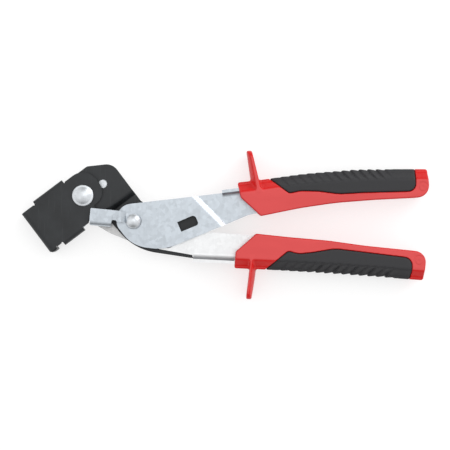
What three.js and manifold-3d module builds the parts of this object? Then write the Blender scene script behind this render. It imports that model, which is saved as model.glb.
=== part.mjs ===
// Hollow-wall anchor setting pliers.
//
// Squeezing the handles turns the upper handle about the pivot. A lever behind the body plate then
// draws a forked claw back from the slotted nose face, which pulls the anchor's screw and spreads
// its legs behind the wall.
//
// The tool lies flat. +X runs along the handles, +Y across them on the side of the upper handle
// and +Z up. Everything is drawn about the pivot, and the whole tool is moved at the end so that
// its origin is at the bottom centre of its box. All sizes are in millimetres.

import * as THREE from 'three';
import { mergeVertices } from 'three/addons/utils/BufferGeometryUtils.js';
import Module from 'manifold-3d';

const wasm = await Module();
wasm.setup();

// ---------------------------------------------------------------- driving dimensions

const sheet = 2; // thickness of every pressed plate
const clawSheet = 3; // thickness of the hardened claw
const gap = 0.3; // clearance between neighbouring pieces
const headAngle = Math.atan2(3, 4); // nose axis above the line of the handles
const noseReach = 56.4; // nose face to pivot, along the nose axis
const leverArm = 32.3; // pivot to nose axis
const noseWidth = 31.2; // width of the nose face and of the bracket's cheek
const gripHalf = 11.5; // half the thickness of a grip
const gripBevel = 3; // rounding round a grip's edges
const coverDepth = 2; // thickness of the rubber cover on a grip
const noseSlotWidth = 7; // takes the anchor's screw
const clawSlotWidth = 6.4;
const pinRadius = 3.5; // drive pin
const shankRadius = 3; // pivot rivet
const bushRadius = 5; // sleeve round the pivot rivet
const noseShankRadius = 4; // rivet through the nose bracket
const tangShankRadius = 1.8; // flush rivets in the tangs

// Lower face of each plate. Level 0 is the middle of the grips.
const armLevel = -1; // arm of the body plate, and the lever inside the upper grip
const bodyLevel = 4; // raised head of the body plate
const cheekLevel = bodyLevel + sheet + gap;
const bridgeLevel = cheekLevel + sheet + gap;
const tangLevel = armLevel + sheet + gap; // lower tang, and the upper plate past its step
const upperLevel = tangLevel + sheet + gap;
const eyeLevel = upperLevel + sheet + gap; // eye of the bridge, over the pivot
const leverLevel = armLevel - gap - sheet;
const slideLevel = bodyLevel - gap - sheet;
const clawLevel = slideLevel - gap - clawSheet;

// Places on the nose axis: distance back from the nose face, then sideways from the axis.
const noseRivetPlace = new THREE.Vector2(39.9, 1.15);
const drivePlace = new THREE.Vector2(54.9, -0.3);
const clawFront = 17.65;
const clawRivetPlaces = [new THREE.Vector2(25, 6.2), new THREE.Vector2(25, -6.2)];

// Places about the pivot.
const pivotPlace = new THREE.Vector2(0, 0);
const lowerRivetPlaces = [[23, -14.6], [88, -19], [106, -21.5]].map(([x, y]) => new THREE.Vector2(x, y));
const upperRivetPlaces = [[95, 15.5], [130, 21.5]].map(([x, y]) => new THREE.Vector2(x, y));

// ---------------------------------------------------------------- materials

function finish(color, roughness, metalness) {
  return new THREE.MeshStandardMaterial({ color, roughness, metalness });
}

const blackSteel = finish(0x3a3a3e, 0.5, 0.4);
const zinc = finish(0xc6cdd6, 0.35, 0.9);
const paleZinc = finish(0xe4e5e3, 0.4, 0.85);
const hardSteel = finish(0x6d7076, 0.4, 0.9);
const redPlastic = finish(0xd2252b, 0.45, 0);
const blackRubber = finish(0x3c3c41, 0.7, 0);

// ---------------------------------------------------------------- outlines

// The arc that rounds a corner between two neighbours.
function cornerArc(before, corner, after, radius) {
  const back = before.clone().sub(corner).normalize();
  const on = after.clone().sub(corner).normalize();
  const half = Math.acos(THREE.MathUtils.clamp(back.dot(on), -1, 1)) / 2;
  const reach = radius / Math.tan(half);
  const start = corner.clone().addScaledVector(back, reach);
  const end = corner.clone().addScaledVector(on, reach);
  const middle = back.clone().add(on).normalize();
  const centre = corner.clone().addScaledVector(middle, radius / Math.sin(half));
  const from = start.clone().sub(centre).angle();
  const to = end.clone().sub(centre).angle();
  return { start, centre, from, to, clockwise: back.cross(on) > 0 };
}

// Draws a line through corners [x, y, radius], each rounded where it has a radius.
function drawCorners(path, corners, closed) {
  const places = corners.map(([x, y]) => new THREE.Vector2(x, y));
  const count = corners.length;
  corners.forEach(([x, y, radius = 0], i) => {
    const inner = closed || (i > 0 && i < count - 1);
    let start = places[i];
    let arc = null;
    if (radius > 0 && inner) {
      arc = cornerArc(places[(i + count - 1) % count], places[i], places[(i + 1) % count], radius);
      start = arc.start;
    }
    if (i === 0) {
      path.moveTo(start.x, start.y);
    } else {
      path.lineTo(start.x, start.y);
    }
    if (arc) {
      path.absarc(arc.centre.x, arc.centre.y, radius, arc.from, arc.to, arc.clockwise);
    }
  });
  return path;
}

function outline(corners) {
  const shape = drawCorners(new THREE.Shape(), corners, true);
  shape.closePath();
  return shape;
}

// The same corners with every side moved outwards.
function grown(corners, distance) {
  const places = corners.map(([x, y]) => new THREE.Vector2(x, y));
  const turn = Math.sign(THREE.ShapeUtils.area(places));
  const count = corners.length;
  return corners.map(([x, y, radius = 0], i) => {
    const into = places[i].clone().sub(places[(i + count - 1) % count]).normalize();
    const out = places[(i + 1) % count].clone().sub(places[i]).normalize();
    const along = into.clone().add(out).normalize();
    const reach = (turn * distance) / along.dot(into);
    return [x + along.y * reach, y - along.x * reach, radius];
  });
}

// The section of a bent sheet. Its middle line runs through corners [across, up, radius].
function sheetSection(line, thickness) {
  const middle = drawCorners(new THREE.Path(), line, false).getPoints(4);
  const path = middle.filter((point, i) => i === 0 || point.distanceTo(middle[i - 1]) > 1e-6);
  const left = [];
  const right = [];
  for (let i = 0; i < path.length; i += 1) {
    const before = path[Math.max(i - 1, 0)];
    const after = path[Math.min(i + 1, path.length - 1)];
    const into = (i > 0 ? path[i].clone().sub(before) : after.clone().sub(path[i])).normalize();
    const out = (after !== path[i] ? after.clone().sub(path[i]) : path[i].clone().sub(before)).normalize();
    const along = into.clone().add(out).normalize();
    const reach = thickness / 2 / along.dot(into);
    left.push(new THREE.Vector2(path[i].x - along.y * reach, path[i].y + along.x * reach));
    right.unshift(new THREE.Vector2(path[i].x + along.y * reach, path[i].y - along.x * reach));
  }
  return new THREE.Shape([...left, ...right]);
}

// A point given along the nose axis, turned to the frame of the pivot.
function nose(back, side) {
  const place = new THREE.Vector2(back - noseReach, side + leverArm);
  return place.rotateAround(pivotPlace, headAngle);
}

function noseCorner(back, side, radius = 0) {
  const place = nose(back, side);
  return [place.x, place.y, radius];
}

// ---------------------------------------------------------------- solids

// A solid for joining and cutting. Coordinates are rounded so that faces meant to be level with
// each other are exactly level.
function solid(geometry) {
  geometry.deleteAttribute('normal');
  geometry.deleteAttribute('uv');
  const merged = mergeVertices(geometry, 1e-4);
  const places = merged.attributes.position.array.map((value) => Math.round(value * 1e4) / 1e4);
  const index = merged.index.array;
  const triangles = [];
  for (let i = 0; i < index.length; i += 3) {
    const [a, b, c] = [index[i], index[i + 1], index[i + 2]];
    if (a !== b && b !== c && c !== a) {
      triangles.push(a, b, c);
    }
  }
  return new wasm.Manifold(
    new wasm.Mesh({
      numProp: 3,
      vertProperties: new Float32Array(places),
      triVerts: new Uint32Array(triangles),
    }),
  );
}

// A mesh for a finished piece.
function piece(name, body, material) {
  const { vertProperties, triVerts } = body.getMesh();
  const geometry = new THREE.BufferGeometry();
  geometry.setAttribute('position', new THREE.BufferAttribute(vertProperties, 3));
  geometry.setIndex(new THREE.BufferAttribute(triVerts, 1));
  geometry.computeVertexNormals();
  const mesh = new THREE.Mesh(geometry, material);
  mesh.name = name;
  return mesh;
}

function prism(shape, bottom, top, curveSegments = 7) {
  const depth = top - bottom;
  const geometry = new THREE.ExtrudeGeometry(shape, { depth, bevelEnabled: false, curveSegments });
  return solid(geometry.translate(0, 0, bottom));
}

// A section that stands upright along a direction, drawn out sideways to its right.
function standing(shape, angle, from, to, place = pivotPlace) {
  const depth = to - from;
  const geometry = new THREE.ExtrudeGeometry(shape, { depth, bevelEnabled: false, curveSegments: 5 });
  geometry.translate(0, 0, from);
  geometry.rotateX(Math.PI / 2);
  geometry.rotateZ(angle);
  return solid(geometry.translate(place.x, place.y, 0));
}

function bentSheet(line, angle, from, to, thickness = sheet, place = pivotPlace) {
  return standing(sheetSection(line, thickness), angle, from, to, place);
}

// A solid of revolution about an upright axis, from a profile of [radius, height].
function turned(profile, place, segments = 28) {
  const points = profile.map(([radius, height]) => new THREE.Vector2(radius, height));
  const geometry = new THREE.LatheGeometry(points, segments);
  geometry.rotateX(Math.PI / 2);
  return solid(geometry.translate(place.x, place.y, 0));
}

function hole(place, radius, bottom = -20, top = 20) {
  return turned([[0, bottom], [radius, bottom], [radius, top], [0, top]], place);
}

function ring(place, inner, outer, bottom, top) {
  return turned([[inner, bottom], [outer, bottom], [outer, top], [inner, top], [inner, bottom]], place);
}

function cutAll(body, cutters) {
  return cutters.reduce((rest, cutter) => rest.subtract(cutter), body);
}

// The profile of a rivet's domed head, from its rim to its top.
function domeProfile(radius, height, level) {
  const steps = 6;
  const profile = [];
  for (let i = 0; i < steps; i += 1) {
    const angle = (i / steps) * (Math.PI / 2);
    profile.push([radius * Math.cos(angle), level + height * Math.sin(angle)]);
  }
  return [...profile, [0, level + height]];
}

// A rivet that is flush at both ends, or with spare added the hole that it sits in.
function flushRivet(place, bottom, top, spare = 0) {
  const shank = tangShankRadius + spare;
  const rim = tangShankRadius + 1.2 + spare;
  return turned(
    [[0, bottom], [rim, bottom], [shank, bottom + 1], [shank, top - 1], [rim, top], [0, top]],
    place,
    20,
  );
}

// ---------------------------------------------------------------- head

// One pressed plate: the raised head, a step down across it, and the arm into the lower grip.
function bodyPlate() {
  const plan = outline([
    noseCorner(6, -14.2),
    noseCorner(33.4, -14.2, 2),
    noseCorner(42.4, -22.4, 3),
    [-14.2, -1.6, 3],
    [0.6, -18.8, 38],
    [39, -24.6, 60],
    [70, -25.8],
    [115, -27.6, 4],
    [115, -16.5, 4],
    [76, -10.8, 6],
    [48.6, -9.6, 2],
    [45.6, -3.6, 3],
    [42.4, 5.6, 3],
    [13.5, 7.4, 6],
    noseCorner(68.2, -24, 2),
    noseCorner(68.2, 6.4, 8.8),
    noseCorner(53.5, 15.1, 3),
    noseCorner(6, 15.1),
  ]);
  const head = bodyLevel + sheet / 2;
  const arm = armLevel + sheet / 2;
  const line = [
    [90, head],
    [leverArm - 15.2, head, 1.4],
    [leverArm - 18, arm, 1.4],
    [-130, arm],
  ];
  const tail = bodyLevel + 1.2 + gap;
  const tailRadius = noseShankRadius + 1.6 + gap;
  const shankHole = noseShankRadius + gap;
  const rivetSeat = turned(
    [[0, 2], [tailRadius, 2], [tailRadius, bodyLevel + gap], [shankHole, tail], [shankHole, 9], [0, 9]],
    nose(noseRivetPlace.x, noseRivetPlace.y),
  );
  const blank = bentSheet(line, headAngle + Math.PI / 2, -90, 190).intersect(prism(plan, -5, 10));
  return cutAll(blank, [
    rivetSeat,
    hole(nose(drivePlace.x, drivePlace.y), 3.1),
    hole(pivotPlace, bushRadius + gap),
    ...lowerRivetPlaces.map((place) => flushRivet(place, armLevel, tangLevel + sheet, gap)),
  ]);
}

// A slot across the nose axis, open towards the table, with a round end.
function forkSlot(from, to, width) {
  const top = 1.5;
  const round = width / 2 - 0.01;
  const section = outline([
    [-width / 2, -40],
    [width / 2, -40],
    [width / 2, top, round],
    [-width / 2, top, round],
  ]);
  return standing(section, Math.PI / 2, from, to);
}

// The bracket, the slide, the claw and the drive pin are drawn along the nose axis: X runs back
// from the nose face.
function noseBracket() {
  const half = noseWidth / 2;
  const middle = cheekLevel + sheet / 2;
  const roundEnd = noseRivetPlace.x + 13.5;
  const plan = outline([
    [-1, half],
    [-1, -half],
    [32.2, -half, 1],
    [34, -13.6, 1],
    [40.5, -13.6, 2],
    [41.8, -8.3, 1.5],
    [roundEnd, -8.3, 9.5],
    [roundEnd, half, 11],
  ]);
  const cheekLine = [[sheet / 2, -gripHalf], [sheet / 2, middle, 2.6], [70, middle]];
  const cheek = bentSheet(cheekLine, 0, -half, half).intersect(prism(plan, -20, 20));
  const tabSide = half + gap + sheet / 2;
  const lip = slideLevel - gap - sheet / 2;
  const tabLine = [[half - 5, middle], [tabSide, middle, 2], [tabSide, lip, 1.4], [half - 3.2, lip]];
  const tabStart = 11;
  const upperTabEnd = 34.5;
  const lowerTabEnd = 27.2;
  const returnSide = -half - 1.3;
  const returnFlange = prism(
    outline([[0.6, 2 - half], [0.6, returnSide, 1.5], [5.2, returnSide, 0.6], [5.2, 0.7 - half], [2, 2 - half]]),
    -gripHalf,
    middle - 2,
  );
  const reliefs = [
    [6, -half],
    [tabStart - 0.7, -half],
    [lowerTabEnd + 0.7, -half],
    [tabStart - 0.7, half],
    [upperTabEnd + 0.7, half],
  ];
  return cutAll(
    cheek
      .add(bentSheet(tabLine, Math.PI / 2, tabStart, upperTabEnd))
      .add(bentSheet(tabLine, -Math.PI / 2, -lowerTabEnd, -tabStart))
      .add(returnFlange),
    [
      ...reliefs.map(([back, side]) => hole(new THREE.Vector2(back, side), 0.5)),
      forkSlot(-5, 12, noseSlotWidth),
      hole(noseRivetPlace, noseShankRadius + gap),
    ],
  );
}

function noseRivet() {
  const seat = cheekLevel + sheet + gap;
  return turned(
    [
      [0, bodyLevel],
      [noseShankRadius + 1.6, bodyLevel],
      [noseShankRadius, bodyLevel + 1.2],
      [noseShankRadius, seat],
      [7, seat],
      [7, seat + 0.6],
      [6.6, seat + 0.9],
      ...domeProfile(5.6, 2.5, seat + 0.9),
    ],
    noseRivetPlace,
  );
}

// The slide is guided by the bracket's tabs. The drive pin works in its cross slot.
function drawSlide() {
  const guide = noseWidth / 2;
  const plan = outline([
    [clawFront, 11.5, 1],
    [clawFront, -11.5, 1],
    [clawFront + 4, -guide, 1],
    [29.5, -guide, 2],
    [33, -11, 2],
    [63, -11, 4],
    [63, 11, 4],
    [33, 11, 2],
    [29.5, guide, 2],
    [clawFront + 4, guide, 1],
  ]);
  const slotHalf = pinRadius + 0.5;
  const slotPlan = outline([
    [drivePlace.x - slotHalf, 4, 3.9],
    [drivePlace.x - slotHalf, -9.1, 3.9],
    [drivePlace.x + slotHalf, -9.1, 3.9],
    [drivePlace.x + slotHalf, 4, 3.9],
  ]);
  return cutAll(prism(plan, slideLevel, slideLevel + sheet), [
    prism(slotPlan, -20, 20),
    ...clawRivetPlaces.map((place) => clawRivet(place, gap)),
  ]);
}

// The forked claw holds the head of the anchor's screw.
function drawClaw() {
  const middle = clawLevel + clawSheet / 2;
  const front = clawFront + clawSheet / 2;
  const halfWidth = 10;
  const line = [[front, 1 - gripHalf], [front, middle, 2.5], [clawFront + 11.5, middle]];
  return cutAll(bentSheet(line, 0, -halfWidth, halfWidth, clawSheet), [
    forkSlot(clawFront - 5, clawFront + clawSheet + 1.4, clawSlotWidth),
    ...clawRivetPlaces.map((place) => hole(place, 1.6 + gap)),
  ]);
}

// Flush with the top of the slide and domed under the claw. With spare added it cuts its hole.
function clawRivet(place, spare = 0) {
  const top = slideLevel + sheet;
  const bottom = clawLevel - gap - 0.7;
  return turned(
    [
      [0, bottom],
      [1.8 + spare, bottom],
      [2.6 + spare, bottom + 0.7],
      [1.6 + spare, bottom + 0.7],
      [1.6 + spare, top - 1],
      [2.6 + spare, top],
      [0, top],
    ],
    place,
    20,
  );
}

// Riveted through the lever, with a collar under the slide.
function drivePin() {
  const head = leverLevel - gap;
  const collar = leverLevel + sheet + gap;
  const slide = slideLevel - gap;
  const top = slideLevel + sheet - 0.1;
  return turned(
    [
      [0, head - 1.5],
      [4.2, head - 1.5],
      [5, head - 0.5],
      [5, head],
      [pinRadius, head],
      [pinRadius, collar],
      [5.2, collar],
      [5.2, slide],
      [pinRadius, slide],
      [pinRadius, top - 0.6],
      [pinRadius - 0.6, top],
      [0, top],
    ],
    drivePlace,
  );
}

// ---------------------------------------------------------------- pivot

// A strap from the bracket's cheek to the pivot. It holds the outer end of the pivot rivet, and
// the wide part has its lower edge turned down.
function pivotBridge() {
  const lean = THREE.MathUtils.degToRad(-5.4);
  const plan = outline([
    [-28, 8.6, 0.6],
    [-28.8, 0.3],
    [-14.3, -1.05],
    [-14.1, 0.9, 1],
    [-11.4, 0.5, 1],
    [-10.6, -0.6, 0.5],
    [-5, -0.9, 0.6],
    [-5, -5, 4.8],
    [5, -5, 4.8],
    [5, 5, 4.8],
    [-4.4, 5.4, 3],
    [-9, 6.8, 1.5],
  ]);
  const wide = bridgeLevel + sheet / 2;
  const eye = eyeLevel + sheet / 2;
  const line = [[-40, wide], [-8.4, wide, 1.2], [-5, eye, 1.2], [20, eye]];
  const lipLine = [[6, wide], [-4.3, wide, 1.8], [-4.3, 4.5]];
  return cutAll(
    bentSheet(line, 0, -20, 20)
      .intersect(prism(plan, -5, 15))
      .add(bentSheet(lipLine, lean + Math.PI / 2, -28.4, -14.3)),
    [hole(pivotPlace, shankRadius + gap)],
  );
}

const washerTop = leverLevel - gap;
const washerDepth = 1.2;

function pivotRivet() {
  const seat = eyeLevel + sheet + gap;
  const back = washerTop - washerDepth - gap;
  return turned(
    [
      [0, back - 2.4],
      [3.4, back - 2.4],
      [5.4, back - 1],
      [5.4, back],
      [shankRadius, back],
      [shankRadius, seat],
      [4.6, seat],
      ...domeProfile(4.6, 2.9, seat + 0.5),
    ],
    pivotPlace,
  );
}

// ---------------------------------------------------------------- handles

const upperTangPlan = [[58, -2.9], [76, 4], [150, 19.5, 3], [150, 29.5, 3], [58, 18.5]];
const lowerTangPlan = [[58, -7.1], [76.2, -9.2], [150, -20.5, 3], [150, -30.4, 3], [58, -25.1]];

// A flange along the outer edge of a tang, bent up from its level. Side is 1 on the upper handle.
function tangFlange(place, slope, side, level, height, length, spare = 0) {
  const angle = THREE.MathUtils.degToRad(slope) + (side * Math.PI) / 2;
  const outer = 1.9;
  const bend = height - level - 0.6;
  const line = [[-6, level], [outer, level, bend], [outer, height + spare]];
  const start = 0.6 - spare;
  const end = length + spare;
  const from = side > 0 ? start : -end;
  const to = side > 0 ? end : -start;
  return bentSheet(line, angle, from, to, sheet + 2 * spare, place);
}

function upperFlange(spare = 0) {
  const edge = new THREE.Vector2(58.2, 17.6);
  return tangFlange(edge, 6.8, 1, tangLevel + sheet / 2, 6.8, 15, spare);
}

function lowerFlange(spare = 0) {
  const edge = new THREE.Vector2(38.9, -23.9);
  return tangFlange(edge, -3, -1, tangLevel + sheet / 2, 8, 28, spare);
}

// The upper plate turns on the pivot in front of the body plate. Past its window it steps back to
// meet the lever.
function upperPlate() {
  const plan = outline([
    [-11.1, 10.4, 10.2],
    [-11.1, -3, 8],
    [-0.8, -16.2, 22],
    [20, -19.1, 34],
    [59.6, -2.9, 2],
    [76, 4, 6],
    ...upperTangPlan.slice(2, 4),
    [30, 15.15],
  ]);
  const front = upperLevel + sheet / 2;
  const back = tangLevel + sheet / 2;
  const stepAngle = Math.PI / 4;
  const line = [[-60, front], [38.3, front, 1.4], [41.5, back, 1.4], [170, back]];
  const windowPlan = outline([[28.9, -0.7], [40.6, 4.3, 2.5], [43.3, -2.2, 1.8], [31.6, -7]]);
  const plate = bentSheet(line, stepAngle, -160, 160).intersect(prism(plan, -10, 20));
  return cutAll(plate.add(upperFlange()), [
    prism(windowPlan, -10, 20),
    hole(pivotPlace, bushRadius + gap),
    ...upperRivetPlaces.map((place) => flushRivet(place, armLevel, tangLevel + sheet, gap)),
  ]);
}

// The lever lies behind the body plate: one arm carries the drive pin and the other steps up against
// the upper plate and runs into the upper grip.
function rearLever() {
  const drive = nose(drivePlace.x, drivePlace.y);
  const out = drive.clone().normalize();
  const side = new THREE.Vector2(-out.y, out.x);
  const tipHalf = 6.6;
  const tip = drive.clone().addScaledVector(out, tipHalf);
  const tipLeft = tip.clone().addScaledVector(side, tipHalf);
  const tipRight = tip.clone().addScaledVector(side, -tipHalf);
  const plan = outline([
    [-34.3, 2.9, 7],
    [tipLeft.x, tipLeft.y, 6.2],
    [tipRight.x, tipRight.y, 6.2],
    [-1, 9.6, 9],
    [58, 16.4],
    ...upperTangPlan.slice(2, 4).reverse(),
    [76, 4.6, 6],
    [58, -1.8, 6],
    [20, -14.2, 12],
    [1, -14.8, 9],
    [-15.7, -8.2, 30],
  ]);
  const behind = leverLevel + sheet / 2;
  const inGrip = armLevel + sheet / 2;
  const line = [[-60, behind], [61.5, behind, 1.4], [64.5, inGrip, 1.4], [170, inGrip]];
  return cutAll(bentSheet(line, 0, -60, 60).intersect(prism(plan, -10, 10)), [
    hole(pivotPlace, bushRadius + gap),
    hole(drive, pinRadius + gap),
    ...upperRivetPlaces.map((place) => flushRivet(place, armLevel, tangLevel + sheet, gap)),
  ]);
}

// The tang of the lower handle, riveted to the front of the body plate's arm.
function lowerTang() {
  const plan = outline([
    [15.5, -12.4, 3],
    [34, -10.4, 10],
    [46, -7.3, 6],
    [55, -7.7, 10],
    [76.2, -9.2, 10],
    ...lowerTangPlan.slice(2, 4),
    [39.2, -24],
    [38.8, -22.4, 0.8],
    [15, -18.2, 3],
  ]);
  return cutAll(prism(plan, tangLevel, tangLevel + sheet).add(lowerFlange()), [
    ...lowerRivetPlaces.map((place) => flushRivet(place, armLevel, tangLevel + sheet, gap)),
  ]);
}

// ---------------------------------------------------------------- grips

const upperGrip = {
  plan: [
    [68.8, 25.6, 3.3],
    [70.9, 15.6, 3.3],
    [84.3, 3.3, 3.3],
    [110.4, 8.6, 150],
    [134, 12.1, 200],
    [160, 14.1, 200],
    [195.6, 15.9, 8],
    [194.2, 34.4, 3.3],
    [148, 34.4, 200],
    [110.4, 31.2, 300],
    [83.7, 27.2, 60],
  ],
  fin: [[74.7, 46.7, 1], [78.2, 46.9, 1.2], [84.6, 20.6], [79.4, 20.6], [77.4, 27.5, 3]],
  cover: [
    [85.4, 42],
    [86.4, 30.8],
    [102.9, 18.5, 3],
    [110.4, 20.1, 20],
    [122.2, 19.8, 20],
    [135.8, 18, 30],
    [151.7, 18.9, 60],
    [186.2, 19.8, 5],
    [185.8, 42],
  ],
};

const lowerGrip = {
  plan: [
    [81.2, -8.3, 3.3],
    [67.6, -20.2, 3.3],
    [66.7, -31.2, 3.3],
    [88.9, -32.2, 100],
    [141.7, -35.6, 200],
    [191.6, -39.2, 3.3],
    [193.6, -20.4, 7.5],
    [154.3, -16.4, 200],
    [129.1, -12.9, 150],
    [103.8, -10.7, 150],
  ],
  fin: [[74.4, -51.9, 1], [77.9, -52, 1.2], [83, -25], [77.2, -25], [76.7, -33, 3]],
  cover: [
    [87, -46],
    [87.6, -32],
    [102.2, -19.8, 3],
    [108.8, -21.7, 15],
    [118.3, -20.8, 20],
    [132.9, -18.3, 30],
    [148, -20.1, 60],
    [183.7, -24.5, 5.5],
    [183.6, -33, 4],
    [180.8, -46],
  ],
};

// The outer form of a grip.
function gripForm(plan) {
  const depth = 2 * (gripHalf - gripBevel);
  const geometry = new THREE.ExtrudeGeometry(outline(plan), {
    depth,
    bevelThickness: gripBevel,
    bevelSize: gripBevel,
    bevelOffset: -gripBevel,
    bevelSegments: 2,
    curveSegments: 3,
  });
  return solid(geometry.translate(0, 0, -depth / 2));
}

// The form that lies under the skin of a grip.
function innerForm(plan, inset) {
  return prism(outline(grown(plan, -inset)), inset - gripHalf, gripHalf - inset, 3);
}

// A guard that stands out of the grip and keeps the hand from the plates.
function guardFin(fin) {
  const heights = fin.map(([, y]) => y);
  const side = Math.sign(heights[0]);
  const tip = Math.max(...heights.map(Math.abs)) + 0.1;
  const front = outline([[0, -gripHalf], [side * tip, -gripHalf, 7], [side * tip, gripHalf, 7], [0, gripHalf]]);
  return prism(outline(fin), -gripHalf, gripHalf, 4).intersect(standing(front, Math.PI / 2, 60, 100));
}

function gripCover(grip) {
  return gripForm(grip.plan)
    .intersect(prism(outline(grip.cover), -20, 20, 3))
    .subtract(innerForm(grip.plan, coverDepth));
}

// The moulded core of a grip, with the pocket that its tang fills.
function gripCore(grip, pocket) {
  const seat = prism(outline(grown(grip.cover, gap)), -20, 20, 3);
  const underCover = prism(outline(grown(grip.cover, 2)), -20, 20, 3);
  return gripForm(grip.plan)
    .subtract(seat)
    .add(innerForm(grip.plan, coverDepth + gap).intersect(underCover))
    .add(guardFin(grip.fin))
    .subtract(pocket);
}

function upperPocket() {
  const plan = outline(grown(upperTangPlan, gap));
  return prism(plan, armLevel - gap, tangLevel + sheet + gap).add(upperFlange(gap));
}

function lowerPocket() {
  const plan = outline(grown(lowerTangPlan, gap));
  return prism(plan, armLevel - gap, tangLevel + sheet + gap).add(lowerFlange(gap));
}

// ---------------------------------------------------------------- assembly

const head = new THREE.Group();
const headPlace = nose(0, 0);
head.position.set(headPlace.x, headPlace.y, 0);
head.rotation.z = headAngle;
head.add(
  piece('nose_bracket', noseBracket(), blackSteel),
  piece('nose_rivet', noseRivet(), zinc),
  piece('draw_slide', drawSlide(), zinc),
  piece('draw_claw', drawClaw(), hardSteel),
  piece('drive_pin', drivePin(), zinc),
);
clawRivetPlaces.forEach((place, i) => {
  head.add(piece(`claw_rivet_${i + 1}`, clawRivet(place), zinc));
});

const body = new THREE.Group();
body.add(
  piece('body_plate', bodyPlate(), blackSteel),
  piece('pivot_bridge', pivotBridge(), zinc),
  piece('pivot_rivet', pivotRivet(), zinc),
  piece('pivot_bush', ring(pivotPlace, shankRadius + gap, bushRadius, leverLevel, upperLevel + sheet), hardSteel),
  piece('pivot_spacer', ring(pivotPlace, bushRadius + gap, 8.6, armLevel + sheet + gap, upperLevel - gap), zinc),
  piece('pivot_washer', ring(pivotPlace, shankRadius + gap, 8.2, washerTop - washerDepth, washerTop), zinc),
  piece('lower_tang', lowerTang(), paleZinc),
  piece('lower_grip_core', gripCore(lowerGrip, lowerPocket()), redPlastic),
  piece('lower_grip_cover', gripCover(lowerGrip), blackRubber),
);
lowerRivetPlaces.forEach((place, i) => {
  body.add(piece(`tang_rivet_${i + 1}`, flushRivet(place, armLevel, tangLevel + sheet), zinc));
});

const handle = new THREE.Group();
handle.add(
  piece('upper_plate', upperPlate(), zinc),
  piece('rear_lever', rearLever(), paleZinc),
  piece('upper_grip_core', gripCore(upperGrip, upperPocket()), redPlastic),
  piece('upper_grip_cover', gripCover(upperGrip), blackRubber),
);
upperRivetPlaces.forEach((place, i) => {
  handle.add(piece(`lever_rivet_${i + 1}`, flushRivet(place, armLevel, tangLevel + sheet), zinc));
});

const tool = new THREE.Group();
tool.add(head, body, handle);
tool.updateMatrixWorld(true);
const box = new THREE.Box3().setFromObject(tool, true);
const middle = box.getCenter(new THREE.Vector3());
tool.position.set(-middle.x, -middle.y, -box.min.z);

export default tool;
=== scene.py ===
# The looks of a pair of hollow-wall anchor setting pliers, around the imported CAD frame.
#
# Shapes are drawn in millimetres about the pivot, as in the CAD source: X along the handles, Y across
# them and Z up, with level 0 in the middle of the grips. They are turned into metres in the row frame
# when their meshes are made.

import math

import bpy
import numpy as np
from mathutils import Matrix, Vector


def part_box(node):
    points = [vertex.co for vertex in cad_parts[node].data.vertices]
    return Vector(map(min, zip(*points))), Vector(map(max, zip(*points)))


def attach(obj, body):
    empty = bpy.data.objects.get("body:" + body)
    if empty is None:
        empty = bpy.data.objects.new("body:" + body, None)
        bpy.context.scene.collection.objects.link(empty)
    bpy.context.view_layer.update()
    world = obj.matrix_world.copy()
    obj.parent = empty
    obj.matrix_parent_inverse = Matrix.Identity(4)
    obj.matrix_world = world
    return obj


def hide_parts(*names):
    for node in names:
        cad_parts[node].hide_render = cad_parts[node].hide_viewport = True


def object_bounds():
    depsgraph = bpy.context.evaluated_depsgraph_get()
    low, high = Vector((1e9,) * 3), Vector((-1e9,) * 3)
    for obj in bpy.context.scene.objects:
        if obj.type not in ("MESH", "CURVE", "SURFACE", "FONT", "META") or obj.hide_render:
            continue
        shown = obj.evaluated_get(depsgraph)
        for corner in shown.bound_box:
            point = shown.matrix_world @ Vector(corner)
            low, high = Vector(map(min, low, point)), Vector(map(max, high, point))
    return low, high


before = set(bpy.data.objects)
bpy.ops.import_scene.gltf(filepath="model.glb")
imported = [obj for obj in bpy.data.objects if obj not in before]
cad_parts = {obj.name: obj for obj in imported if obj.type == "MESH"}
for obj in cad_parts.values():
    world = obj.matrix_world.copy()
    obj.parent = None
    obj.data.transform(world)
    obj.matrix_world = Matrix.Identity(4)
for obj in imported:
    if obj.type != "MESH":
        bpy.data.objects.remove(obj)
cad_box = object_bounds()

MM = 0.001
bush_low, bush_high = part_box("pivot_bush")
grip_low, grip_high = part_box("lower_grip_core")

# The pivot's place in the row frame, at the level of the middle of the grips.
pivot = Vector(
    (
        (bush_low.x + bush_high.x) / 2,
        (bush_low.y + bush_high.y) / 2,
        (grip_low.z + grip_high.z) / 2,
    )
)

# Half a grip's thickness, the gap round a rubber cover, a cover's depth, and the step of the grid
# that the grips are drawn on.
GRIP_HALF = 11.5
GAP = 0.3
COVER_DEPTH = 2.0
GRID = 0.5

# Edges that turn by more than this many degrees are shaded sharp, or broken on the CAD pieces.
SHARP_ANGLE = 38


# ------------------------------------------------------------------ materials


def linked(tree, socket, value):
    """Gives a socket a value, or links it where the value is another node's output."""
    if isinstance(value, bpy.types.NodeSocket):
        tree.links.new(value, socket)
    else:
        socket.default_value = value


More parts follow.
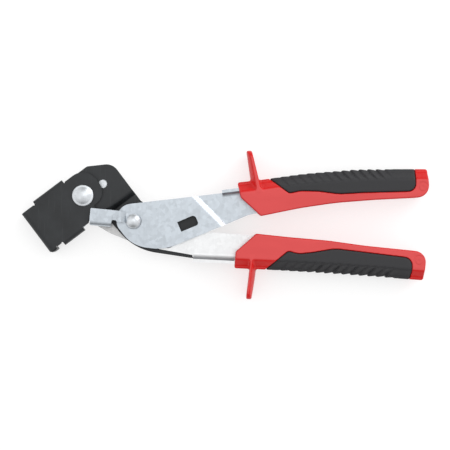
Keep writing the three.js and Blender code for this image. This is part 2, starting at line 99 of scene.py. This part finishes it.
class Finish:
    """A procedural material whose patterns lie in the row frame, in millimetres."""

    def __init__(self, name):
        self.material = bpy.data.materials.new(name)
        self.material.use_nodes = True
        self.tree = self.material.node_tree
        self.shader = self.tree.nodes["Principled BSDF"]
        self.coordinates = self.tree.nodes.new("ShaderNodeTexCoord")
        self.place = self.stretched(self.coordinates.outputs["Object"], (1 / MM, 1 / MM, 1 / MM))

    def node(self, kind, **settings):
        made = self.tree.nodes.new(kind)
        for key, value in settings.items():
            setattr(made, key, value)
        return made

    def stretched(self, place, scale, turn=0.0):
        """A place turned about Z and scaled, so that patterns can be drawn out along a line."""
        made = self.node("ShaderNodeMapping")
        linked(self.tree, made.inputs["Vector"], place)
        made.inputs["Rotation"].default_value = (0, 0, turn)
        made.inputs["Scale"].default_value = scale
        return made.outputs["Vector"]

    def noise(self, size, detail=3.0, stretch=(1, 1, 1), turn=0.0, roughness=0.55):
        """Soft noise from 0 to 1, with blotches about size millimetres across."""
        made = self.node("ShaderNodeTexNoise")
        place = self.stretched(self.place, stretch, turn)
        linked(self.tree, made.inputs["Vector"], place)
        made.inputs["Scale"].default_value = 1 / size
        made.inputs["Detail"].default_value = detail
        made.inputs["Roughness"].default_value = roughness
        return made.outputs["Fac"]

    def cells(self, size, warp=0.0):
        """A random shade for each crystal-like cell."""
        place = self.place
        if warp:
            bend = self.node("ShaderNodeTexNoise")
            linked(self.tree, bend.inputs["Vector"], self.place)
            bend.inputs["Scale"].default_value = 1 / size
            add = self.node("ShaderNodeVectorMath", operation="MULTIPLY_ADD")
            linked(self.tree, add.inputs[0], bend.outputs["Color"])
            add.inputs[1].default_value = (warp, warp, warp)
            linked(self.tree, add.inputs[2], self.place)
            place = add.outputs["Vector"]
        made = self.node("ShaderNodeTexVoronoi", feature="SMOOTH_F1")
        linked(self.tree, made.inputs["Vector"], place)
        made.inputs["Scale"].default_value = 1 / size
        made.inputs["Smoothness"].default_value = 0.35
        grey = self.node("ShaderNodeSeparateColor")
        linked(self.tree, grey.inputs["Color"], made.outputs["Color"])
        return grey.outputs["Red"]

    def upright(self):
        """How squarely a surface faces up or down: 1 on the flat faces, 0 on the walls."""
        facing = self.node("ShaderNodeSeparateXYZ")
        linked(self.tree, facing.inputs["Vector"], self.coordinates.outputs["Normal"])
        size = self.node("ShaderNodeMath", operation="ABSOLUTE")
        linked(self.tree, size.inputs[0], facing.outputs["Z"])
        return size.outputs["Value"]

    def ranged(self, value, low, high, to_low=0.0, to_high=1.0):
        """A value mapped from the range low to high onto another range, and held inside it."""
        made = self.node("ShaderNodeMapRange", clamp=True)
        linked(self.tree, made.inputs["Value"], value)
        made.inputs["From Min"].default_value = low
        made.inputs["From Max"].default_value = high
        made.inputs["To Min"].default_value = to_low
        made.inputs["To Max"].default_value = to_high
        return made.outputs["Result"]

    def mixed(self, share, one, other):
        made = self.node("ShaderNodeMix", data_type="RGBA")
        linked(self.tree, made.inputs["Factor"], share)
        linked(self.tree, made.inputs["A"], one)
        linked(self.tree, made.inputs["B"], other)
        return made.outputs["Result"]

    def sum(self, one, other, share=1.0):
        """One value plus a share of the other."""
        made = self.node("ShaderNodeMath", operation="MULTIPLY_ADD")
        linked(self.tree, made.inputs[0], other)
        made.inputs[1].default_value = share
        linked(self.tree, made.inputs[2], one)
        return made.outputs["Value"]

    def bump(self, height, distance, strength=1.0):
        made = self.node("ShaderNodeBump")
        linked(self.tree, made.inputs["Height"], height)
        made.inputs["Distance"].default_value = distance * MM
        made.inputs["Strength"].default_value = strength
        linked(self.tree, self.shader.inputs["Normal"], made.outputs["Normal"])

    def set(self, **values):
        """Sets or links inputs of the shader, named by one plain word each."""
        names = {"color": "Base Color", "specular": "Specular IOR Level"}
        for key, value in values.items():
            name = names.get(key, key.capitalize())
            linked(self.tree, self.shader.inputs[name], value)


def grey(value, blue=0.0):
    """A grey with its blue raised and its red lowered by a share of its value."""
    return (value * (1 - blue), value, value * (1 + blue), 1)


def zinc(name, dark, light, blue, roughness, bends=0.0):
    """Bright zinc plating: soft crystal-like mottling, rolling marks and fine random scratches.

    The bends and walls of a sheet are painted darker than its flat faces, by the share bends: this is
    painted shade.
    """
    finish = Finish(name)
    crystals = finish.cells(2.4, warp=3.0)
    cloud = finish.noise(16, detail=4)
    rolling = finish.noise(2.2, stretch=(1, 0.09, 1), detail=4)
    shade = finish.sum(finish.sum(crystals, cloud, 0.9), rolling, 0.8)
    color = finish.mixed(finish.ranged(shade, 0.75, 1.85), grey(dark, blue), grey(light, blue))
    scratches = finish.noise(0.5, stretch=(1, 0.03, 1), turn=0.7, detail=2)
    fine = finish.ranged(scratches, 0.63, 0.7)
    color = finish.mixed(finish.ranged(fine, 0, 1, 0, 0.25), color, grey(light * 1.12, blue))
    # Painted shade: the steeper a face, the more dark grey is mixed into its colour.
    painted_bend_shade = finish.ranged(finish.upright(), 0.3, 0.97, bends, 0)
    color = finish.mixed(painted_bend_shade, color, grey(dark * 0.3, 0.08))
    rough = finish.sum(roughness - 0.05, cloud, 0.12)
    grain = finish.sum(finish.noise(0.35, detail=2), crystals, 0.5)
    finish.set(color=color, metallic=0.88, roughness=rough)
    finish.bump(finish.sum(grain, fine, -0.7), 0.012, 0.6)
    return finish.material


def coated_steel(name, value, wear):
    """Black coating with orange peel, faint rubbed patches and a little dust."""
    finish = Finish(name)
    cloud = finish.noise(11, detail=5)
    speck = finish.ranged(finish.noise(0.55, detail=2), 0.66, 0.74)
    rubbed = finish.ranged(finish.noise(1.2, stretch=(1, 0.06, 1), turn=-0.64, detail=3), 0.6, 0.78)
    color = finish.mixed(finish.ranged(cloud, 0.3, 0.75), grey(value, 0.15), grey(value * 2.4, 0.12))
    color = finish.mixed(finish.ranged(speck, 0, 1, 0, 0.14), color, grey(wear, 0.05))
    color = finish.mixed(finish.ranged(rubbed, 0, 1, 0, 0.2), color, grey(wear, 0.05))
    rough = finish.sum(0.4, cloud, 0.16)
    finish.set(color=color, metallic=0.15, roughness=rough, specular=0.5)
    finish.bump(finish.sum(finish.noise(0.8, detail=3), speck, 0.2), 0.02, 0.5)
    return finish.material


def hard_steel(name):
    """Hardened steel with a blue-grey oxide and grinding lines."""
    finish = Finish(name)
    lines = finish.noise(0.4, stretch=(1, 0.05, 1), turn=0.93, detail=3)
    cloud = finish.noise(6, detail=4)
    color = finish.mixed(cloud, (0.16, 0.17, 0.2, 1), (0.36, 0.36, 0.37, 1))
    finish.set(color=color, metallic=0.9, roughness=finish.sum(0.26, lines, 0.2))
    finish.bump(lines, 0.01, 0.6)
    return finish.material


def moulded_plastic(name):
    """Red moulded plastic: flat faces painted a paler red as a painted sheen, smoother deep red slopes
    and edges, and a fine paler grain.
    """
    finish = Finish(name)
    flow = finish.noise(22, stretch=(0.35, 1, 1), detail=3)
    grain = finish.noise(0.45, detail=2)
    # Painted sheen: the flat faces get a paler red than the slopes and edges.
    flat = finish.ranged(finish.upright(), 0.86, 0.98)
    along = finish.ranged(flow, 0.3, 0.7)
    smooth = finish.mixed(along, (0.55, 0.006, 0.005, 1), (0.61, 0.009, 0.008, 1))
    painted_sheen_red = finish.mixed(along, (0.6, 0.058, 0.058, 1), (0.67, 0.072, 0.072, 1))
    color = finish.mixed(flat, smooth, painted_sheen_red)
    dots = finish.ranged(grain, 0.6, 0.75, 0, 0.15)
    color = finish.mixed(dots, color, (0.76, 0.1, 0.095, 1))
    rough = finish.sum(finish.sum(0.3, flat, 0.12), flow, 0.1)
    finish.set(color=color, roughness=rough, specular=0.28)
    finish.bump(grain, 0.03, 0.5)
    return finish.material


def soft_rubber(name):
    """Black moulded rubber: matt, finely pitted and slightly dusty."""
    finish = Finish(name)
    cloud = finish.noise(9, detail=4)
    pits = finish.noise(0.32, detail=2)
    color = finish.mixed(cloud, (0.012, 0.012, 0.014, 1), (0.02, 0.02, 0.023, 1))
    dust = finish.ranged(pits, 0.58, 0.74, 0, 0.25)
    color = finish.mixed(dust, color, (0.05, 0.05, 0.055, 1))
    finish.set(color=color, roughness=finish.sum(0.56, cloud, 0.14), specular=0.5)
    finish.bump(finish.sum(pits, finish.noise(1.6, detail=2), 0.5), 0.035, 0.6)
    return finish.material


zinc_steel = zinc("zinc_steel", 0.45, 0.55, 0.08, 0.32)
# The edge finish makes broken edges paler than the faces: partly burnished edges, partly a painted
# highlight.
zinc_edge = zinc("zinc_edge", 0.7, 0.86, 0.04, 0.3)
# The tang's zinc has its bends and walls painted darker, as painted shade.
pale_zinc = zinc("pale_zinc", 0.67, 0.74, 0.01, 0.34, bends=0.8)
# The rear lever's zinc is a darker copy of the pale zinc: painted shade for the lever lying deep under
# the plates.
painted_shade_lever_zinc = zinc("painted_shade_lever_zinc", 0.5, 0.6, 0.0, 0.42)
rivet_zinc = zinc("rivet_zinc", 0.6, 0.72, 0.04, 0.34)
black_steel = coated_steel("black_steel", 0.009, 0.1)
# The edge finish makes broken edges paler than the faces: partly worn paint, partly a painted
# highlight.
black_edge = coated_steel("black_edge", 0.05, 0.4)
hardened = hard_steel("hard_steel")
red_plastic = moulded_plastic("red_plastic")
black_rubber = soft_rubber("black_rubber")


# ------------------------------------------------------------------ meshes


def to_row(point):
    """A point in millimetres about the pivot, as a place in the row frame."""
    return pivot + Vector(point) * MM


def add_mesh(name, vertices, faces, material, body, nodes, slot):
    """A new piece of the object, in place of CAD nodes."""
    mesh = bpy.data.meshes.new(name)
    mesh.from_pydata([to_row(v) for v in vertices], [], [list(map(int, f)) for f in faces])
    mesh.validate()
    mesh.shade_smooth()
    mesh.materials.append(material)
    made = bpy.data.objects.new(name, mesh)
    bpy.context.scene.collection.objects.link(made)
    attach(made, body)
    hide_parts(*nodes)
    return made


def dress(node, material, edge_material=None, bevel=0.22):
    """Keeps a CAD node, with its edges broken and its bends shaded smooth."""
    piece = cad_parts[node]
    piece.data.materials.clear()
    piece.data.materials.append(material)
    piece.data.materials.append(edge_material or material)
    piece.data.shade_smooth()
    weld = piece.modifiers.new("weld", "WELD")
    weld.merge_threshold = 0.004 * MM
    edges = piece.modifiers.new("edges", "BEVEL")
    edges.width = bevel * MM
    edges.segments = 2
    edges.limit_method = "ANGLE"
    edges.angle_limit = math.radians(SHARP_ANGLE)
    edges.material = 1 if edge_material else -1
    normals = piece.modifiers.new("normals", "WEIGHTED_NORMAL")
    normals.mode = "FACE_AREA"
    normals.weight = 100


def rounded(corners, closed=True, step=0.4):
    """An outline through corners (x, y, radius), with short steps along its rounded corners."""
    points = []
    count = len(corners)
    for i, corner in enumerate(corners):
        here = np.array(corner[:2], float)
        radius = corner[2] if len(corner) > 2 else 0
        at_end = not closed and i in (0, count - 1)
        if radius == 0 or at_end:
            points.append(here)
            continue
        back = np.array(corners[i - 1][:2]) - here
        on = np.array(corners[(i + 1) % count][:2]) - here
        back /= np.linalg.norm(back)
        on /= np.linalg.norm(on)
        half = math.acos(np.clip(back @ on, -1, 1)) / 2
        middle = (back + on) / np.linalg.norm(back + on)
        centre = here + middle * radius / math.sin(half)
        start = here + back * radius / math.tan(half) - centre
        end = here + on * radius / math.tan(half) - centre
        sweep = math.atan2(start[0] * end[1] - start[1] * end[0], start @ end)
        steps = max(2, math.ceil(abs(sweep) * radius / step))
        first = math.atan2(start[1], start[0])
        for k in range(steps + 1):
            turn = first + sweep * k / steps
            points.append(centre + radius * np.array([math.cos(turn), math.sin(turn)]))
    return np.array(points)


# ------------------------------------------------------------------ moulded forms
#
# A moulded form is a field of signed distances on a grid, negative inside the form. Forms are joined
# and cut with rounded edges, and the surface where the field is zero becomes a mesh.


def line_distance(points, x, y, closed):
    """Distance to a line through points."""
    nearest = np.full(x.shape, np.inf)
    last = len(points) if closed else len(points) - 1
    for i in range(last):
        start, end = points[i], points[(i + 1) % len(points)]
        along = end - start
        px, py = x - start[0], y - start[1]
        share = np.clip((px * along[0] + py * along[1]) / (along @ along), 0, 1)
        nearest = np.minimum(nearest, np.hypot(px - share * along[0], py - share * along[1]))
    return nearest


def plan_distance(points, x, y):
    """Signed distance to a closed outline, negative inside it."""
    inside = np.zeros(x.shape, bool)
    for i in range(len(points)):
        (ax, ay), (bx, by) = points[i], points[(i + 1) % len(points)]
        if ay == by:
            continue
        crosses = ((ay > y) != (by > y)) & (x < (bx - ax) * (y - ay) / (by - ay) + ax)
        inside ^= crosses
    nearest = line_distance(points, x, y, True)
    return np.where(inside, -nearest, nearest)


def common(one, other, radius):
    """What two forms share, with the edge between them rounded."""
    share = np.clip(0.5 + 0.5 * (one - other) / radius, 0, 1)
    return one * share + other * (1 - share) + radius * share * (1 - share)


def joined(one, other, radius):
    """Two forms as one, with a fillet between them."""
    return -common(-one, -other, radius)


def surface(values, corner, step):
    """Vertices and faces of the surface where the field is zero."""
    inside = values < 0
    count = np.zeros(tuple(n - 1 for n in values.shape), np.int8)
    shifts = [(i, j, k) for i in (0, 1) for j in (0, 1) for k in (0, 1)]
    for i, j, k in shifts:
        nx, ny, nz = count.shape
        count += inside[i : i + nx, j : j + ny, k : k + nz]
    cells = np.argwhere((count > 0) & (count < 8))
    index = np.full(count.shape, -1)
    index[tuple(cells.T)] = np.arange(len(cells))
    total = np.zeros((len(cells), 3))
    crossings = np.zeros((len(cells), 1))
    for shift in shifts:
        for axis in range(3):
            if shift[axis]:
                continue
            first = np.array(shift)
            second = first.copy()
            second[axis] = 1
            a = values[tuple((cells + first).T)]
            b = values[tuple((cells + second).T)]
            crossed = (a < 0) != (b < 0)
            share = np.where(crossed, a / np.where(crossed, a - b, 1), 0)
            point = first + share[:, None] * (second - first)
            total += np.where(crossed[:, None], point, 0)
            crossings += crossed[:, None]
    vertices = (cells + total / crossings) * step + corner
    faces = []
    for axis in range(3):
        u, v = np.zeros(3, int), np.zeros(3, int)
        u[(axis + 1) % 3] = 1
        v[(axis + 2) % 3] = 1
        low = [slice(1, -1)] * 3
        high = [slice(1, -1)] * 3
        low[axis] = slice(0, -1)
        high[axis] = slice(1, None)
        a, b = inside[tuple(low)], inside[tuple(high)]
        start = np.array([0 if n == axis else 1 for n in range(3)])
        for changed, ahead in ((a & ~b, True), (~a & b, False)):
            edge = np.argwhere(changed) + start
            ring = [edge - u - v, edge - v, edge, edge - u]
            quads = np.stack([index[tuple(cell.T)] for cell in ring], axis=1)
            faces.append(quads if ahead else quads[:, ::-1])
    return vertices, np.concatenate(faces)


# ------------------------------------------------------------------ grips


# Each grip's outlines are corners (x, y, radius): plan is the whole grip but its guard, outer the edge
# that its slope runs along, fin the guard, fin_front the guard's front face, cover the rubber and tang
# the pocket. mark is the middle of the round mark near the end, strong the stretch of the rubber with
# deep grooves, and deeper how much deeper every second groove is there.
UPPER_GRIP = {
    "plan": [
        (68.8, 25.6, 1.2),
        (70.9, 15.6, 1.2),
        (84.3, 3.3, 1.6),
        (110.4, 8.6, 150),
        (134, 12.1, 200),
        (160, 14.1, 200),
        (195.6, 15.9, 8),
        (194.2, 34.4, 1.6),
        (148, 34.4, 200),
        (110.4, 31.2, 300),
        (83.7, 27.2, 60),
    ],
    "outer": [(55, 23.9), (83.7, 27.2, 60), (110.4, 31.2, 300), (148, 34.4, 200), (215, 34.4)],
    "fin": [(74.7, 46.7, 1), (78.2, 46.9, 1.2), (84.8, 19.6), (79.6, 19.6), (77.4, 27.5, 3)],
    "fin_front": [(76.4, 48), (81.9, 19)],
    "cover": [
        (85.4, 42),
        (86.4, 30.8),
        (102.9, 18.5, 3),
        (110.4, 20.1, 20),
        (122.2, 19.8, 20),
        (135.8, 18, 30),
        (151.7, 18.9, 60),
        (186.2, 19.8, 5),
        (185.8, 42),
    ],
    "tang": [(58, -3.2), (76, 3.7), (150.5, 19.3, 3), (150.5, 29.8, 3), (58, 18.8)],
    "mark": (190.9, 22.4),
    "strong": (126, 172),
    "deeper": 1.0,
}

LOWER_GRIP = {
    "plan": [
        (81.2, -8.3, 1.6),
        (67.6, -20.2, 1.2),
        (66.7, -31.2, 1.2),
        (88.9, -32.2, 100),
        (141.7, -35.6, 200),
        (191.6, -39.2, 1.6),
        (193.6, -20.4, 7.5),
        (154.3, -16.4, 200),
        (129.1, -12.9, 150),
        (103.8, -10.7, 150),
    ],
    "outer": [(55, -30.7), (88.9, -32.2, 100), (141.7, -35.6, 200), (215, -40.9)],
    "fin": [(74.4, -51.9, 1), (77.9, -52, 1.2), (83.2, -23.8), (77.3, -23.8), (76.7, -33, 3)],
    "fin_front": [(78.4, -23.8), (75.9, -53)],
    "cover": [
        (87, -46),
        (87.6, -32),
        (102.2, -19.8, 3),
        (108.8, -21.7, 15),
        (118.3, -20.8, 20),
        (132.9, -18.3, 30),
        (148, -20.1, 60),
        (183.7, -24.5, 5.5),
        (183.6, -33, 4),
        (180.8, -46),
    ],
    "tang": [(58, -6.8), (76.2, -8.9), (150.5, -20.2, 3), (150.5, -30.7, 3), (58, -25.4)],
    "mark": (188.4, -26.1),
    "strong": (110, 176),
    "deeper": 1.6,
}


# The levels between which a tang lies in its grip.
TANG_LOW, TANG_HIGH = -1.3, 3.6


def grip_field(grip):
    """The grid that a grip is drawn on: places in plan, heights and the corner it starts from."""
    front, end = 65.0, 198
    side_margin, level_margin = 1.5, 1.25
    sides = [point[1] for point in grip["plan"] + grip["fin"]]
    corner = np.array([front, min(sides) - side_margin, -GRIP_HALF - level_margin])
    length = end - corner[0]
    width = max(sides) + side_margin - corner[1]
    height = 2 * (GRIP_HALF + level_margin)
    x, y = np.meshgrid(
        corner[0] + GRID * np.arange(math.ceil(length / GRID)),
        corner[1] + GRID * np.arange(math.ceil(width / GRID)),
        indexing="ij",
    )
    z = corner[2] + GRID * np.arange(math.ceil(height / GRID) + 1)
    return x, y, z[None, None, :], corner


def grip_form(plan, outer, z, half):
    """The outside of a grip: flat faces, a broad slope to a ledge along the outer edge."""
    slope_run, slope_drop, ledge = 4.8, 5.4, 1.7
    slope = (slope_run + ledge - outer) * slope_drop + (np.abs(z) - half) * slope_run
    slope /= math.hypot(slope_run, slope_drop)
    block = common(plan, np.abs(z) - half, 0.9)
    block = common(block, slope, 1.0)
    rim = common(plan, np.abs(z) - (half - slope_drop), 1.6)
    return np.maximum(joined(block, rim, 1.0), plan)


def scales(grip, x, outer):
    """How deep the slanting grooves along the outer edge are."""
    pitch, slant, steep_share = 5.75, 0.85, 0.16
    depth, light_start, reach = 0.6, 90, 7.6
    phase = (x - slant * outer) / pitch
    share = phase - np.floor(phase)
    fall = np.clip((1 - share) / steep_share, 0, 1)
    wave = share**1.5 * fall * fall * (3 - 2 * fall)
    start, end = grip["strong"]
    fading = np.clip((end - x) / 8, 0, 1)
    near = np.clip((x - start) / 12, 0, 1) * fading
    light = np.clip((x - light_start) / 10, 0, 1) * fading
    turn = np.where(np.floor(phase) % 2 == 0, grip["deeper"], 1.0)
    edge = np.clip((reach - outer) / 2.2, 0, 1)
    return wave * edge * depth * (light + near * turn)


def fin_form(grip, x, y, z):
    """The guard: a thin upright plate with rounded corners at its tip and a crowned front."""
    tip_radius, crown_height = 7, 3.4
    tip = max(abs(point[1]) for point in grip["fin"])
    reach = np.abs(y)[:, :, None]
    round_y = np.maximum(reach - (tip - tip_radius), 0)
    round_z = np.maximum(np.abs(z) - (GRIP_HALF - tip_radius), 0)
    corners = (round_y > 0) & (round_z > 0)
    flat = np.maximum(reach - tip, np.abs(z) - GRIP_HALF)
    face = np.where(corners, np.hypot(round_y, round_z) - tip_radius, flat)
    blade = common(plan_distance(rounded(grip["fin"]), x, y)[:, :, None], face, 1.0)
    start, end = (np.array(point) for point in grip["fin_front"])
    along = (end - start) / np.linalg.norm(end - start)
    ahead = np.sign(start[1]) * ((x - start[0]) * along[1] - (y - start[1]) * along[0])
    crown = crown_height * (1 - (np.abs(z) / GRIP_HALF) ** 2)
    return common(blade, ahead[:, :, None] - crown, 0.8)


def round_mark(grip, x, y, z):
    """How deep the ring and dot near a grip's end are sunk, on both its faces."""
    radius, line, dot, depth, skin = 3, 0.55, 1.1, 0.35, 3
    away = np.hypot(x - grip["mark"][0], y - grip["mark"][1])[:, :, None]
    sunk = np.exp(-(((away - radius) / line) ** 2)) + 0.7 * np.exp(-((away / dot) ** 2))
    return depth * sunk * (np.abs(z) > GRIP_HALF - skin)


def tang_pocket(grip, x, y, z):
    """The pocket that a tang lies in."""
    tang = plan_distance(rounded(grip["tang"]), x, y)[:, :, None]
    return np.maximum(tang, np.abs(z - (TANG_LOW + TANG_HIGH) / 2) - (TANG_HIGH - TANG_LOW) / 2)


def make_grip(name, body, grip):
    """A grip's rubber cover and its red core, which is a little lower than the cover."""
    x, y, z, corner = grip_field(grip)
    plan = plan_distance(rounded(grip["plan"]), x, y)[:, :, None]
    outer = line_distance(rounded(grip["outer"], closed=False, step=2), x, y, False)[:, :, None]
    patch = plan_distance(rounded(grip["cover"]), x, y)[:, :, None]
    cover_form = grip_form(plan, outer, z, GRIP_HALF)
    inner = cover_form + COVER_DEPTH

    cover = cover_form + scales(grip, x[:, :, None], outer)
    cover = common(cover, patch, 0.9)
    cover = common(cover, -inner, 0.3)
    add_mesh(
        f"{name}_grip_rubber",
        *surface(cover, corner, GRID),
        black_rubber,
        body,
        [f"{name}_grip_cover"],
        "black_rubber",
    )

    seat = np.maximum(patch - GAP, -inner - GAP)
    core_sink = 0.15
    core = common(grip_form(plan, outer, z, GRIP_HALF - core_sink), -seat, 0.4)
    core = np.maximum(joined(core, fin_form(grip, x, y, z), 1.6), np.abs(z) - GRIP_HALF)
    core = common(core, -tang_pocket(grip, x, y, z), 0.3)
    core = core + round_mark(grip, x, y, z)
    add_mesh(
        f"{name}_grip_body",
        *surface(core, corner, GRID),
        red_plastic,
        body,
        [f"{name}_grip_core"],
        "red_plastic",
    )


# ------------------------------------------------------------------ turned pieces


def cap_profile(radius, height, level, steps=14):
    """The profile of a ball's cap from its rim to its top."""
    ball = (radius**2 + height**2) / (2 * height)
    widest = math.asin(radius / ball)
    points = []
    for i in range(steps + 1):
        angle = widest * (1 - i / steps)
        points.append((ball * math.sin(angle), level + height - ball * (1 - math.cos(angle))))
    return points


def turned(name, profile, place, material, body, nodes, slot, segments=72):
    """A piece turned about an upright axis, from a profile that starts and ends on the axis."""
    rings = profile[1:-1]
    vertices = [(place[0], place[1], profile[0][1]), (place[0], place[1], profile[-1][1])]
    for radius, height in rings:
        for i in range(segments):
            angle = 2 * math.pi * i / segments
            x = place[0] + radius * math.cos(angle)
            y = place[1] + radius * math.sin(angle)
            vertices.append((x, y, height))
    faces = []
    for i in range(segments):
        j = (i + 1) % segments
        faces.append((0, 2 + j, 2 + i))
        for k in range(len(rings) - 1):
            low, high = 2 + k * segments, 2 + (k + 1) * segments
            faces.append((low + i, low + j, high + j, high + i))
        last = 2 + (len(rings) - 1) * segments
        faces.append((last + i, last + j, 1))
    made = add_mesh(name, vertices, faces, material, body, nodes, slot)
    made.data.set_sharp_from_angle(angle=math.radians(SHARP_ANGLE))
    return made


# The nose axis's direction, and how far the pivot lies behind the nose face and beside the axis.
NOSE_ACROSS, NOSE_UP = 0.8, 0.6
PIVOT_BACK, PIVOT_SIDE = 56.4, -32.3


def nose_point(back, side):
    """A place behind the nose face and beside the nose axis, about the pivot."""
    back -= PIVOT_BACK
    side -= PIVOT_SIDE
    return (NOSE_ACROSS * back - NOSE_UP * side, NOSE_UP * back + NOSE_ACROSS * side)


def make_rivets():
    """The nose rivet and the pivot rivet, with their domed heads."""
    rim = 8.6
    turned(
        "nose_rivet_head",
        [
            (0, 4),
            (5.6, 4),
            (4, 5.2),
            (4, rim),
            (6.8, rim),
            (7, rim + 0.2),
            (7, rim + 0.55),
            (6.85, rim + 0.8),
            (6.5, rim + 0.95),
            *cap_profile(5.7, 1.9, rim + 0.95),
        ],
        nose_point(39.9, 1.15),
        rivet_zinc,
        "body",
        ["nose_rivet"],
        "zinc_steel",
    )
    top = 8.2
    turned(
        "pivot_rivet_head",
        [
            (0, -7.5),
            (3.4, -7.5),
            (4.6, -6.9),
            (5.4, -6.1),
            (5.4, -5.1),
            (3, -5.1),
            (3, top),
            (4.6, top),
            *cap_profile(4.6, 2.1, top + 0.9),
        ],
        (0, 0),
        rivet_zinc,
        "body",
        ["pivot_rivet"],
        "zinc_steel",
    )


# ------------------------------------------------------------------ the object


make_grip("upper", "upper_handle", UPPER_GRIP)
make_grip("lower", "body", LOWER_GRIP)
make_rivets()

dress("body_plate", black_steel, black_edge, bevel=0.28)
dress("nose_bracket", black_steel, black_edge, bevel=0.28)
dress("pivot_bridge", zinc_steel, zinc_edge)
dress("upper_plate", zinc_steel, zinc_edge, bevel=0.38)
# The rear lever is given the darker zinc, as painted shade.
dress("rear_lever", painted_shade_lever_zinc, zinc_edge)
dress("lower_tang", pale_zinc, zinc_edge)
dress("draw_slide", zinc_steel, zinc_edge)
dress("draw_claw", hardened)
dress("pivot_bush", hardened, bevel=0.1)
for node in ("drive_pin", "pivot_spacer", "pivot_washer"):
    dress(node, rivet_zinc, bevel=0.15)
for kind, count in (("claw", 2), ("tang", 3), ("lever", 2)):
    for number in range(1, count + 1):
        dress(f"{kind}_rivet_{number}", rivet_zinc, bevel=0.1)


# ------------------------------------------------------------------ stage


def make_floor():
    """A large white floor that glows a little, so that it stays white behind the object."""
    mesh = bpy.data.meshes.new("floor")
    far = 6.0
    corners = [(-far, -far, 0), (far, -far, 0), (far, far, 0), (-far, far, 0)]
    mesh.from_pydata(corners, [], [(0, 1, 2, 3)])
    floor = bpy.data.objects.new("floor", mesh)
    bpy.context.scene.collection.objects.link(floor)
    material = bpy.data.materials.new("floor")
    material.use_nodes = True
    shader = material.node_tree.nodes["Principled BSDF"]
    shader.inputs["Base Color"].default_value = (0.4, 0.4, 0.4, 1)
    shader.inputs["Emission Color"].default_value = (1, 1, 1, 1)
    shader.inputs["Emission Strength"].default_value = 0.65
    shader.inputs["Roughness"].default_value = 0.9
    shader.inputs["Specular IOR Level"].default_value = 0.1
    mesh.materials.append(material)


def make_light(name, place, size, power):
    """A rectangular lamp that faces the object."""
    data = bpy.data.lights.new(name, "AREA")
    data.shape = "RECTANGLE"
    data.size, data.size_y = size
    data.energy = power
    light = bpy.data.objects.new(name, data)
    light.location = place
    light.rotation_mode = "QUATERNION"
    light.rotation_quaternion = (-Vector(place)).to_track_quat("-Z", "Y")
    bpy.context.scene.collection.objects.link(light)


def make_world():
    """A pale room, bright overhead and to the left and right, and darker in front and behind."""
    world = bpy.data.worlds.new("room")
    world.use_nodes = True
    tree = world.node_tree
    place = tree.nodes.new("ShaderNodeTexCoord").outputs["Generated"]
    mirrored = tree.nodes.new("ShaderNodeVectorMath")
    mirrored.operation = "ABSOLUTE"
    tree.links.new(place, mirrored.inputs[0])
    shares = []
    both_ways = (mirrored.outputs["Vector"], (0.5, -0.25, 0))
    one_way = (place, (0, 0.1, 0.45))
    for direction, weights in (both_ways, one_way):
        share = tree.nodes.new("ShaderNodeVectorMath")
        share.operation = "DOT_PRODUCT"
        tree.links.new(direction, share.inputs[0])
        share.inputs[1].default_value = weights
        shares.append(share.outputs["Value"])
    total = tree.nodes.new("ShaderNodeMath")
    for i, share in enumerate(shares):
        tree.links.new(share, total.inputs[i])
    ramp = tree.nodes.new("ShaderNodeMapRange")
    tree.links.new(total.outputs["Value"], ramp.inputs["Value"])
    ramp.inputs["From Min"].default_value = -0.15
    ramp.inputs["From Max"].default_value = 0.5
    ramp.inputs["To Min"].default_value = 0.15
    ramp.inputs["To Max"].default_value = 1.12
    sky = tree.nodes["Background"]
    sky.inputs["Color"].default_value = (1, 1, 1, 1)
    tree.links.new(ramp.outputs["Result"], sky.inputs["Strength"])
    bpy.context.scene.world = world


def make_camera():
    """A camera straight above the object, along the pivot's axis."""
    data = bpy.data.cameras.new("camera")
    camera = bpy.data.objects.new("camera", data)
    bpy.context.scene.collection.objects.link(camera)
    low, high = cad_box
    framing = 1.1066
    distance, level = 1.2, 0.0175
    data.sensor_width = 36
    data.lens = data.sensor_width * distance / ((high.x - low.x) * framing)
    camera.location = ((low.x + high.x) / 2, (low.y + high.y) / 2, level + distance)
    data.clip_end = 20
    bpy.context.scene.camera = camera


make_floor()
make_world()
make_light("overhead", (0.15, 0.35, 1.3), (0.9, 0.9), 1.6)
make_light("right", (1.0, 0.95, 0.6), (0.8, 0.6), 7)
make_camera()
bpy.context.scene.view_settings.view_transform = "Standard"
